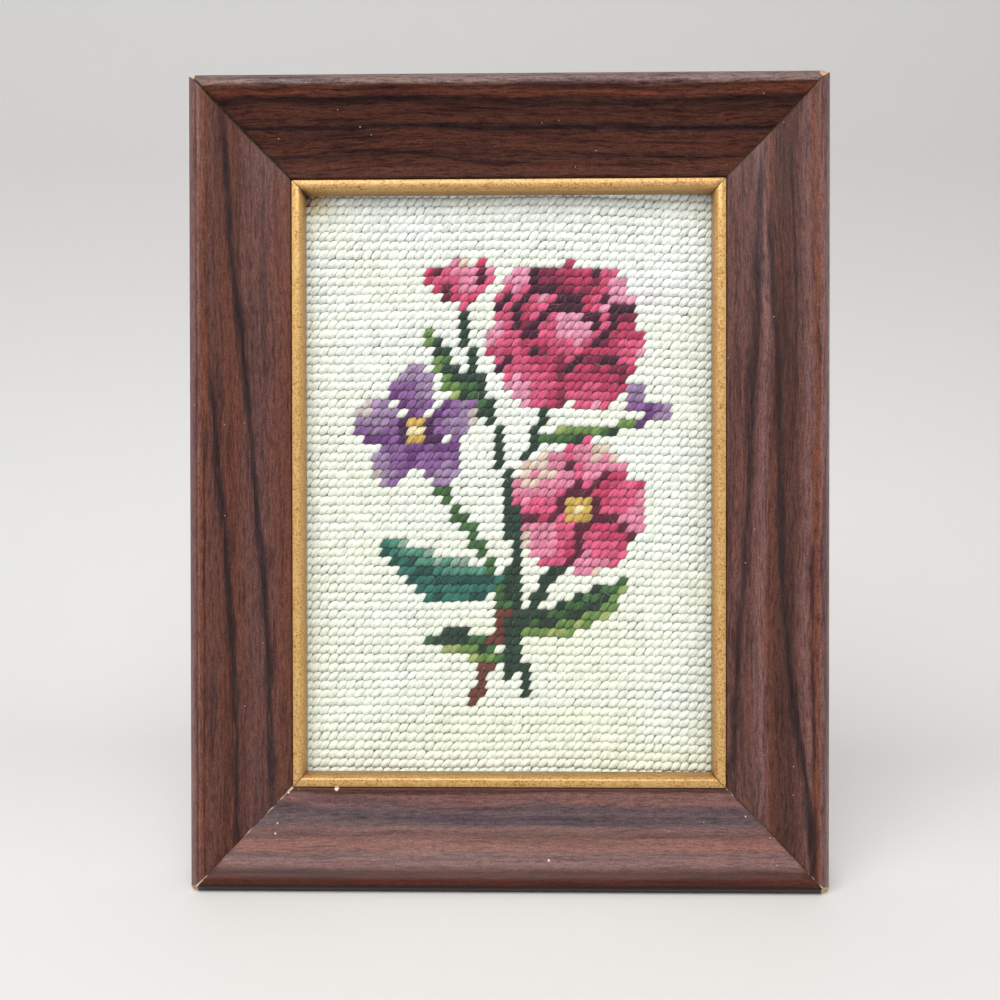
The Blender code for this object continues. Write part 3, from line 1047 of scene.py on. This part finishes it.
def stitchFlower(cells, name, wool, heart, petals, dice):
    top = len(wools[wool]) - 1
    look = petalLight
    for petal in petals:
        for spot in allSpots():
            found = onPetal(*spot, petal)
            if found is None:
                under = cells.get(spot, ("", 0, ""))[2] == name
                if under and onPetal(*spot, petal, look["outline"]):
                    cells[spot] = (wool, 0, name)
                continue
            along, across = found
            light = look["root"] + petal[6] + look["tip"] * along
            light -= look["edges"] * abs(across) ** 3 + look["side"] * across
            shade = round(top * light + dice.uniform(-look["spread"], look["spread"]))
            cells[spot] = (wool, min(top, max(0 if along < 0.35 else 1, shade)), name)
    heartColumn, heartRow, radius = heart
    for column, row in allSpots():
        gap = math.hypot(column + 0.5 - heartColumn, row + 0.5 - heartRow)
        if gap < radius:
            cells[(column, row)] = ("heart", 2 if gap < radius * 0.55 else 1, name)
        elif radius and gap < radius + 0.7:
            cells[(column, row)] = (wool, 0, name)


def drawSpray():
    dice = random.Random(4)
    cells = {}
    for wool, shade, points in stems:
        stitchStem(cells, wool, shade, points)
    for leaf in leaves:
        stitchLeaf(cells, *leaf, dice)
    for flower in flowers:
        stitchFlower(cells, *flower, dice)
    return cells


def stitchTemplate():
    # one plump stitch, as a dome on a rounded square, with a flat hidden foot
    look = canvasWork
    bm = bmesh.new()
    bmesh.ops.create_uvsphere(bm, u_segments=look["domeSides"], v_segments=look["domeRings"], radius=1.0)
    halfSide = Matrix.Rotation(math.pi / look["domeSides"], 3, "Z")
    bmesh.ops.rotate(bm, verts=bm.verts, cent=(0, 0, 0), matrix=halfSide)
    shape = bm.verts[:] + bm.edges[:] + bm.faces[:]
    bmesh.ops.bisect_plane(
        bm, geom=shape, dist=0.001, plane_co=(0, 0, 0), plane_no=(0, 0, 1), clear_inner=True,
    )
    bmesh.ops.holes_fill(bm, edges=boundaryOf(bm), sides=0)
    bmesh.ops.recalc_face_normals(bm, faces=bm.faces)
    for vert in bm.verts:
        out = math.hypot(vert.co.x, vert.co.y)
        rise = 1.0
        if out > 1e-6:
            cosine, sine = vert.co.x / out, vert.co.y / out
            full = look["fullAcross"] * cosine**2 + look["fullUp"] * sine**2
            rise = max(0.0, 1 - min(1.0, out) ** full) ** (1 / full)
            square = look["squareness"]
            reach = (abs(cosine) ** square + abs(sine) ** square) ** (-1 / square)
            reach *= 1 + look["diagonal"] * 2 * cosine * sine
            vert.co.x, vert.co.y = cosine * out * reach, sine * out * reach
        vert.co.z = rise
    bm.verts.index_update()
    points = np.array([vert.co[:] for vert in bm.verts])
    faces = [[vert.index for vert in face.verts] for face in bm.faces]
    bm.free()
    return points, faces


def stitchPlace(column, row):
    # middle of a stitch in the plane of the canvas, with the sag of its row
    pitch = canvasWork["pitch"] * millimetre
    x = -sightWidth / 2 + canvasWork["startLeft"] * millimetre + (column + 0.5) * pitch
    z = centreHeight + sightHeight / 2 - (row + 0.5) * pitch
    toRight = limited((x - rowSag["begins"] * millimetre) / (sightWidth / 2)) ** rowSag["curve"]
    upShare = limited((z - barWidth) / sightHeight) ** rowSag["rise"]
    sag = rowSag["drop"] * toRight * (rowSag["lowest"] + (1 - rowSag["lowest"]) * upShare)
    wave = sum(height * math.sin(x * turns + row * shift) for height, turns, shift in rowWaves)
    return x, z - (sag - wave) * millimetre


# Stains on the ground: (column, row), reach across and down in stitches, share of red, green and blue
# lost. The last is a faint pink blush.
stains = [
    ((-1.0, -0.6), (1.15, 1.15), (0.80, 0.88, 0.91)),
    ((0.1, 0.2), (1.05, 1.05), (0.05, 0.24, 0.50)),
    ((0.0, 0.5), (3.0, 3.0), (0.05, 0.07, 0.14)),
    ((38.6, 10.4), (2.2, 1.2), (0.0, 0.09, 0.06)),
]

# Dye lots of the ground: patches and rows of warmer wool as waves a stitch and share, the tints they
# give, a yellowing downwards, and a painted shade by the right-hand slip from a column over so many columns
dyeLotsAndSlipShade = {
    "patch": ((0.085, 0.12, 3.7), 0.55), "rows": ((0.03, 0.33, 9.1), 0.45),
    "warmRed": 0.02, "warmBlue": -0.12, "plainBlue": 1.05, "lowBlue": -0.09,
    "shade": 0.16, "shadeFrom": 40.5, "shadeOver": 4.0, "shadeCurve": 1.5, "spread": (-0.05, 0.03),
}


def groundShade(column, row, dice):
    # the cream wool came in slightly different dye lots, one corner is stained, and a painted shade darkens
    # it by the right-hand slip
    tintsAndShade = dyeLotsAndSlipShade
    warm = 0.0
    for (across, down, level), share in (tintsAndShade["patch"], tintsAndShade["rows"]):
        warm += share * noise.noise(Vector((column * across, row * down, level)))
    low = limited(row / canvasWork["seenRows"])
    blue = tintsAndShade["plainBlue"] + tintsAndShade["warmBlue"] * warm + tintsAndShade["lowBlue"] * low
    tint = np.array((1.0 + tintsAndShade["warmRed"] * warm, 1.0, blue))
    # painted shade by the right-hand slip
    toSlip = limited((column - tintsAndShade["shadeFrom"]) / tintsAndShade["shadeOver"])
    tint *= 1 - tintsAndShade["shade"] * toSlip ** tintsAndShade["shadeCurve"]
    for (middle, centre), (across, down), soiled in stains:
        stain = math.exp(-(((column - middle) / across) ** 2 + ((row - centre) / down) ** 2))
        tint *= 1 - stain * np.array(soiled)
    return np.array(linear(*wools["ground"][0])) * tint * (1 + dice.uniform(*tintsAndShade["spread"]))


def makeStitches(mat, cells):
    template, faces = stitchTemplate()
    dice = random.Random(21)
    names = ("stitchFoot", "stitchRise", "halfAcross", "halfUp", "wobble")
    size = {key: canvasWork[key] * millimetre for key in names}
    before, columns, rows = (canvasWork[key] for key in ("beyondSight", "columns", "rows"))
    middle, lower = canvasWork["groundBreaks"]
    strength = canvasWork["colourStrength"]
    groups = {}
    for row in range(-before, rows - before):
        rowShift = dice.uniform(*unevenness["row"]) * size["wobble"]
        for column in range(-before, columns - before):
            cell = cells.get((column, row))
            if cell is None:
                colour = groundShade(column, row, dice)
                group = "groundUpper" if row < middle else "groundMiddle" if row < lower else "groundLower"
            else:
                wool, shade, group = cell
                colour = np.array(linear(*wools[wool][shade]))
                colour *= strength + dice.uniform(*unevenness["shade"])
            x, z = stitchPlace(column, row)
            x += dice.uniform(*unevenness["across"]) * size["wobble"]
            z += dice.uniform(*unevenness["up"]) * size["wobble"] + rowShift
            plump, lean, turn, width, height, rise = (
                dice.uniform(*unevenness[key]) for key in ("plump", "lean", "turn", "width", "height", "rise")
            )
            turn = math.radians(turn)
            up = template[:, 1] * size["halfUp"] * height
            across = template[:, 0] * size["halfAcross"] * plump * width + (canvasWork["lean"] + lean) * up
            points = np.empty((len(template), 3))
            points[:, 0] = x + across * math.cos(turn) - up * math.sin(turn)
            points[:, 1] = depthOf(size["stitchFoot"]) - template[:, 2] * size["stitchRise"] * rise
            points[:, 2] = z + across * math.sin(turn) + up * math.cos(turn)
            groups.setdefault(group, []).append((points, colour))
    return [joinStitches(group, stitches, template, faces, mat) for group, stitches in groups.items()]


def joinStitches(group, stitches, template, faces, mat):
    count = len(template)
    points = np.concatenate([points for points, _ in stitches])
    corners = [[n + base * count for n in face] for base in range(len(stitches)) for face in faces]
    mesh = bpy.data.meshes.new(group + "Stitches")
    mesh.from_pydata(points.tolist(), [], corners)
    mesh.update()
    colours = np.ones((len(stitches), count, 4), np.float32)
    colours[:, :, :3] = np.array([colour for _, colour in stitches])[:, None, :]
    layer = mesh.color_attributes.new("woolColour", "FLOAT_COLOR", "POINT")
    layer.data.foreach_set("color", colours.ravel())
    uvs = mesh.uv_layers.new(name="strand")
    flat = np.concatenate([template[face][:, :2] for face in faces]) * 0.5 + 0.5
    uvs.data.foreach_set("uv", np.tile(flat, (len(stitches), 1)).astype(np.float32).ravel())
    mesh.shade_smooth()
    return addPiece(group + "Stitches", mesh, [mat], ["needlepoint_canvas"])


# Wool: its fluff and fibres as waves a metre and share, then a painted shade round the rim of each stitch
# and at its lower end, for the shadow in the gaps between stitches. The fibres and the painted shade tell
# more on the dark wools than on the cream.
woolLook = {
    "fluff": 1500.0, "fluffShare": 0.36, "fibres": (2200.0, 600.0, 320.0), "fibreSpan": (0.34, 0.66),
    "fibreShare": 0.40, "fibreTurn": 36.0, "plain": 0.66, "edge": (0.41, 0.53), "rimPaintedShade": 0.42,
    "lower": (0.34, 0.04), "lowerPaintedShade": 0.08, "darkPower": 1.9, "lighterBy": 1.15, "lightSpan": (0.05, 0.75),
    "plyRelief": 0.7, "fibreRelief": 0.6, "fluffRelief": 0.7, "bump": (0.62, 0.00024),
    "roughness": 0.92, "sheen": 0.25, "sheenRoughness": 0.6, "gloss": 0.25,
}


def woolMaterial():
    look = woolLook
    mat, shader = newMaterial("wool", look["roughness"])
    shader.inputs["Sheen Weight"].default_value = look["sheen"]
    shader.inputs["Sheen Roughness"].default_value = look["sheenRoughness"]
    shader.inputs["Specular IOR Level"].default_value = look["gloss"]
    place, strand = placeOf(mat), placeOf(mat, "UV")
    wool = addNode(mat, "Attribute", attribute_name="woolColour").outputs["Color"]
    fluff = noiseOf(mat, place, look["fluff"], 3.0, 0.7)
    slant = {"Vector": place, "Rotation": (0.0, -math.radians(look["fibreTurn"]), 0.0)}
    turned = addNode(mat, "Mapping", slant).outputs[0]
    fibres = between(mat, grainOf(mat, turned, look["fibres"], 2.0, 0.6), *look["fibreSpan"])
    centred = addNode(mat, "Mapping", {"Vector": strand, "Location": (-0.5, -0.5, 0.0)}).outputs[0]
    out = addNode(mat, "VectorMath", {0: centred}, operation="LENGTH").outputs["Value"]
    # painted shade round the rim of each stitch and at its lower end, for the shadow in the gaps
    edge = between(mat, out, *look["edge"])
    lower = between(mat, axesOf(mat, strand)["Y"], *look["lower"])
    tone = plus(
        mat, look["plain"], times(mat, fluff, look["fluffShare"]),
        times(mat, fibres, look["fibreShare"]), times(mat, edge, -look["rimPaintedShade"]),
        times(mat, lower, -look["lowerPaintedShade"]),
    )
    grey = addNode(mat, "RGBToBW", {"Color": wool}).outputs[0]
    lighter = times(mat, between(mat, grey, *look["lightSpan"]), look["lighterBy"])
    tone = maths(mat, "POWER", tone, minus(mat, look["darkPower"], lighter))
    wire(mat, shaded(mat, wool, tone), shader.inputs["Base Color"])
    waves = {"Vector": strand, "Scale": 0.85, "Distortion": 1.2, "Detail": 1.0, "Detail Scale": 1.5}
    ply = addNode(mat, "TexWave", waves, wave_type="BANDS", bands_direction="X").outputs["Fac"]
    relief = plus(
        mat, times(mat, ply, look["plyRelief"]), times(mat, fibres, look["fibreRelief"]),
        times(mat, fluff, look["fluffRelief"]),
    )
    addBump(mat, shader, relief, *look["bump"])
    return mat


# The bare canvas under the stitches, woven of stiff cotton threads and rippled by the work. Its shades are
# darker than the cotton itself, as painted shade where it shows in the gaps between the stitches.
clothLook = {
    "dark": (76, 70, 62), "pale": (138, 130, 116), "roughness": 0.9, "weave": 0.3, "fluff": 900.0,
    "bump": (0.8, 0.0003), "ripple": 0.04,
}


def clothMaterial():
    mat, shader = newMaterial("canvasThread", clothLook["roughness"])
    place = placeOf(mat)
    axes = axesOf(mat, place)
    turns = 2 * math.pi / (canvasWork["pitch"] * millimetre)
    warp, weft = (maths(mat, "SINE", times(mat, axes[axis], turns)) for axis in ("X", "Z"))
    weave = maths(mat, "MAXIMUM", warp, weft)
    share = plus(mat, times(mat, weave, clothLook["weave"]), noiseOf(mat, place, clothLook["fluff"]))
    # dark and pale shades darkened as painted shade for the gaps between stitches
    colour = rampOf(mat, share, [(0.1, linear(*clothLook["dark"])), (0.8, linear(*clothLook["pale"]))])
    wire(mat, colour, shader.inputs["Base Color"])
    addBump(mat, shader, weave, *clothLook["bump"])
    return mat


def makeCanvas():
    low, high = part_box("needlepoint_canvas")
    width, height = high.x - low.x, high.z - low.z
    across, up = canvasWork["clothCells"]
    front, back = (depthOf(canvasWork[key] * millimetre) for key in ("clothHeight", "backHeight"))
    bm = bmesh.new()
    bmesh.ops.create_grid(bm, x_segments=across, y_segments=up, size=0.5)
    for vert in bm.verts:
        x, z = vert.co.x * width, low.z + (vert.co.y + 0.5) * height
        ripple = clothLook["ripple"] * millimetre * (math.sin(x * 300) + math.sin(z * 260))
        vert.co = (x, front + ripple, z)
    grown = bmesh.ops.extrude_edge_only(bm, edges=boundaryOf(bm))["geom"]
    backRim = [edge for edge in edgesIn(grown) if edge.is_boundary]
    for vert in {corner for edge in backRim for corner in edge.verts}:
        vert.co.y = back
    bmesh.ops.holes_fill(bm, edges=backRim, sides=0)
    mesh = meshFrom(bm, "canvasCloth", 40)
    cloth = addPiece("canvasCloth", mesh, [clothMaterial()], ["needlepoint_canvas"])
    return cloth, (width, height)


# Loose wool fibres that stand off the stitches. Their tint is a share of their wool's colour and a paleness
# added, partly a painted highlight for the light the loose hairs catch
fuzz = {
    "short": {
        "count": 4200, "length": (0.5, 1.5), "thickness": 0.017, "sunk": (0.05, 0.45),
        "tint": (1.05, 0.02), "groundTint": 0.9,
    },
    "long": {
        "count": 260, "length": (1.6, 4.6), "thickness": 0.024, "sunk": (0.12, 0.12),
        "tint": (0.5, 0.34), "groundTint": 1.0,
    },
    "rings": 4,
    "onColour": 0.66,
    "strays": (-1.2, 1.2),
    "curl": (-1.6, 1.6),
    "lift": (0.02, 0.30),
}


def fibreMaterial():
    mat, shader = newMaterial("looseFibre", 0.85)
    wool = addNode(mat, "Attribute", attribute_name="woolColour").outputs["Color"]
    uneven = between(mat, noiseOf(mat, placeOf(mat), 1200.0), 0.3, 0.7)
    uneven = scaledAdd(mat, uneven, 0.25, 0.75)
    wire(mat, shaded(mat, wool, uneven), shader.inputs["Base Color"])
    return mat


def makeFuzz(cells):
    dice = random.Random(77)
    coloured = sorted(cells)
    points, corners, colours = [], [], []
    rings = fuzz["rings"]
    top = canvasWork["stitchFoot"] + canvasWork["stitchRise"]
    for size in [fuzz["short"]] * fuzz["short"]["count"] + [fuzz["long"]] * fuzz["long"]["count"]:
        if dice.random() < fuzz["onColour"]:
            column, row = dice.choice(coloured)
            wool, shade, _ = cells[(column, row)]
            # paler than their wool, partly as a painted highlight
            strength, palenessAndGlint = size["tint"]
            tint = np.array(linear(*wools[wool][shade])) * strength + palenessAndGlint
        else:
            column, row = dice.uniform(0, canvasWork["seenColumns"]), dice.uniform(0, canvasWork["seenRows"])
            tint = np.array(linear(*wools["ground"][0])) * size["groundTint"]
        x, z = stitchPlace(column, row)
        x += dice.uniform(*fuzz["strays"]) * millimetre
        z += dice.uniform(*fuzz["strays"]) * millimetre
        length = dice.uniform(*size["length"]) * millimetre
        heading, curl = dice.uniform(0, 2 * math.pi), dice.uniform(*fuzz["curl"])
        lift = dice.uniform(*fuzz["lift"])
        shallow, deep = size["sunk"]
        sunk = dice.uniform(shallow, deep) if shallow < deep else deep
        thickness = size["thickness"] * millimetre
        base = len(points)
        for ring in range(rings + 1):
            share = ring / rings
            turn = heading + curl * share
            x += math.cos(turn) * length / rings
            z += math.sin(turn) * length / rings
            y = depthOf((top - sunk + lift * math.sin(math.pi * min(1.0, share * 1.1 + 0.05))) * millimetre)
            for corner in range(3):
                around = corner * 2 * math.pi / 3
                side = thickness * math.cos(around)
                points.append((
                    x - math.sin(turn) * side, y - thickness * math.sin(around), z + math.cos(turn) * side,
                ))
                colours.append((*tint, 1.0))
        for ring in range(rings):
            for corner in range(3):
                a = base + ring * 3 + corner
                b = base + ring * 3 + (corner + 1) % 3
                corners.append((a, b, b + 3, a + 3))
        corners.append((base, base + 2, base + 1))
        corners.append(tuple(base + rings * 3 + n for n in range(3)))
    drawn = bpy.data.meshes.new("drawnFibres")
    drawn.from_pydata(points, [], corners)
    bm = bmesh.new()
    bm.from_mesh(drawn)
    bpy.data.meshes.remove(drawn)
    mesh = meshFrom(bm, "looseFibres")
    layer = mesh.color_attributes.new("woolColour", "FLOAT_COLOR", "POINT")
    layer.data.foreach_set("color", np.array(colours, np.float32).ravel())
    return addPiece("looseFibres", mesh, [fibreMaterial()])


# Plain board in the rebate behind the canvas
board = {
    "edge": 0.35, "light": (146, 112, 78), "dark": (108, 78, 52), "roughness": 0.85,
    "flecks": ((500.0, 500.0, 900.0), 0.6), "clouds": (28.0, 0.4), "bump": (0.5, 0.0001),
}


def makeBoard():
    low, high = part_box("backing_board")
    bm = bmesh.new()
    bmesh.ops.create_cube(bm, size=1.0)
    bmesh.ops.scale(bm, verts=bm.verts, vec=high - low)
    bmesh.ops.translate(bm, verts=bm.verts, vec=(low + high) / 2)
    bmesh.ops.bevel(
        bm, geom=bm.edges[:], offset=board["edge"] * millimetre, offset_type="OFFSET", segments=2,
        profile=0.5, affect="EDGES", material=-1,
    )
    mat, shader = newMaterial("hardboard", board["roughness"])
    place = placeOf(mat)
    flecks = grainOf(mat, place, board["flecks"][0], 4.0, 0.7)
    clouds = noiseOf(mat, place, board["clouds"][0], 3.0)
    share = plus(mat, times(mat, flecks, board["flecks"][1]), times(mat, clouds, board["clouds"][1]))
    colour = rampOf(mat, share, [(0.38, linear(*board["dark"])), (0.62, linear(*board["light"]))])
    wire(mat, colour, shader.inputs["Base Color"])
    addBump(mat, shader, flecks, *board["bump"])
    addPiece("board", meshFrom(bm, "board", 40), [mat], ["backing_board"])


def makeStage():
    # a pale floor that sweeps up into a backdrop, painted darker up the wall as painted shade
    size = stageSize
    bm = bmesh.new()
    steps = 16
    outline = [(size["front"], 0.0)]
    for step in range(steps + 1):
        angle = step / steps * math.pi / 2
        outline.append((
            size["back"] - size["bend"] + size["bend"] * math.sin(angle),
            size["bend"] * (1 - math.cos(angle)),
        ))
    outline.append((size["back"], size["height"]))
    verts = [bm.verts.new((-size["halfWidth"], y, z)) for y, z in outline]
    edges = [bm.edges.new(pair) for pair in zip(verts, verts[1:])]
    grown = bmesh.ops.extrude_edge_only(bm, edges=edges)["geom"]
    moved = [item for item in grown if isinstance(item, bmesh.types.BMVert)]
    bmesh.ops.translate(bm, verts=moved, vec=(2 * size["halfWidth"], 0, 0))
    mesh = meshFrom(bm, "floor")
    if sum(face.normal.z for face in mesh.polygons) < 0:
        mesh.flip_normals()
    mat, shader = newMaterial("paleFloor", stageLook["roughness"])
    share = between(mat, axesOf(mat, placeOf(mat))["Z"], 0.0, stageLook["shadeFadesBy"])
    wire(mat, blend(mat, share, stageLook["floor"], stageLook["shadedWall"]), shader.inputs["Base Color"])
    mesh.materials.append(mat)
    item = bpy.data.objects.new("floor", mesh)
    bpy.context.scene.collection.objects.link(item)


makeCamera()
makeLights()
makeStage()
print("camera, lights and floor are set")

bare = bareWoodMaterial()
makeMoulding(bare)
makeSlip(bare)
print("moulding and slip are made")

canvasCloth, flatSize = makeCanvas()
spray = drawSpray()
stitchPieces = makeStitches(woolMaterial(), spray)
fibres = makeFuzz(spray)
print("canvas and stitches are made:", len(stitchPieces), "stitched pieces")

makeBoard()
print("board is made")
